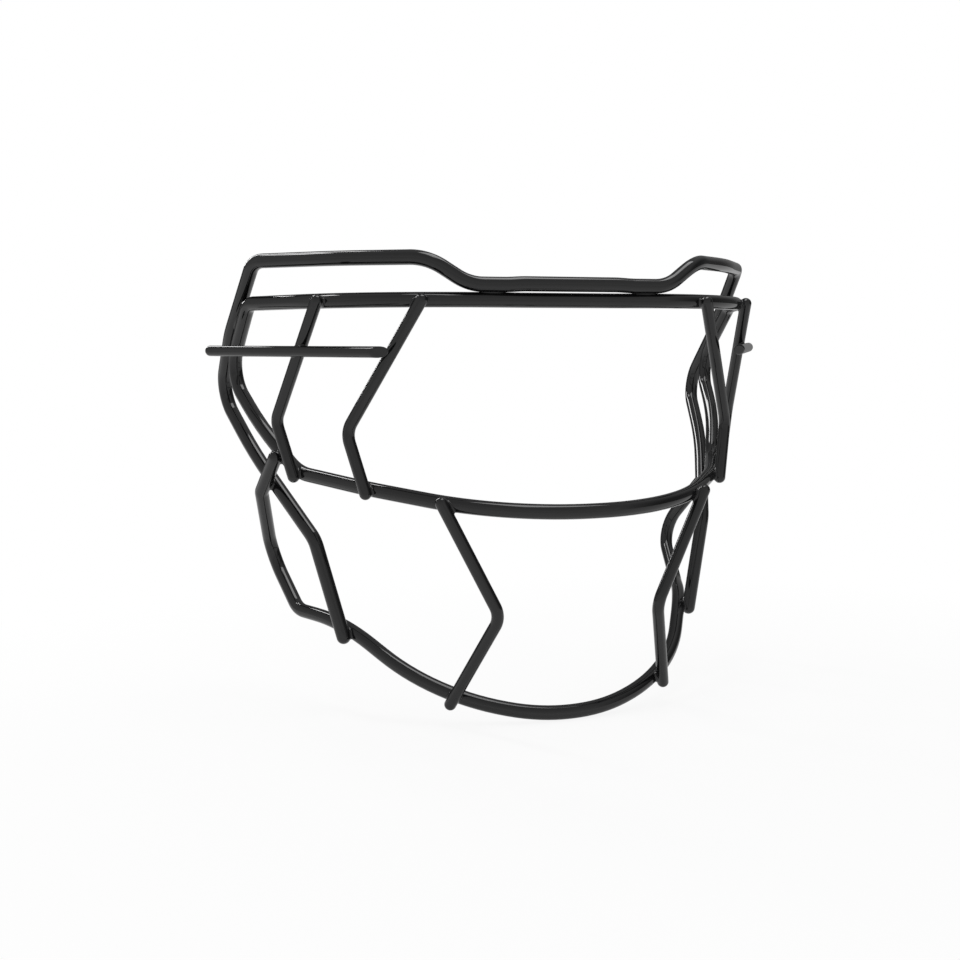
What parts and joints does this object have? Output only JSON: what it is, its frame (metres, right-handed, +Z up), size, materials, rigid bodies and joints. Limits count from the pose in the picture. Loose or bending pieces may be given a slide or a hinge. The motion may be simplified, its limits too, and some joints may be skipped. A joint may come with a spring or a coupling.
{
  "type": "football helmet facemask",
  "caption": "Football helmet facemask: a cage of bent, black-coated steel wires with an open eye port, a raised top bow, a jaw hoop and side bars.",
  "frame": {"origin": "middle of the brow bar, on the wire's centre line", "axes": "+X towards the wearer's left, +Y from the front towards the wearer's face, +Z up"},
  "size_m": [0.2824, 0.1479, 0.2042],
  "materials": {
    "coated_wire": "gloss black coat over steel wire",
    "weld_bead": "gloss black coat over a weld bead"
  },
  "bodies": {
    "root": {"upper_bow": "coated_wire", "eye_hoop": "coated_wire", "jaw_hoop": "coated_wire", "left_outer_upright": "coated_wire", "right_outer_upright": "coated_wire", "left_inner_upright": "coated_wire", "right_inner_upright": "coated_wire", "left_jaw_upright": "coated_wire", "right_jaw_upright": "coated_wire", "left_side_bar": "coated_wire", "right_side_bar": "coated_wire", "left_brow_weld": "weld_bead", "right_brow_weld": "weld_bead", "left_temple_weld": "weld_bead", "right_temple_weld": "weld_bead", "left_outer_upright_welds": "weld_bead", "right_outer_upright_welds": "weld_bead", "left_inner_upright_welds": "weld_bead", "right_inner_upright_welds": "weld_bead", "left_jaw_upright_welds": "weld_bead", "right_jaw_upright_welds": "weld_bead", "left_side_bar_weld": "weld_bead", "right_side_bar_weld": "weld_bead", "left_jaw_hoop_welds": "weld_bead", "right_jaw_hoop_welds": "weld_bead", "left_bow_end_weld": "weld_bead", "right_bow_end_weld": "weld_bead"}
  },
  "joints": []
}
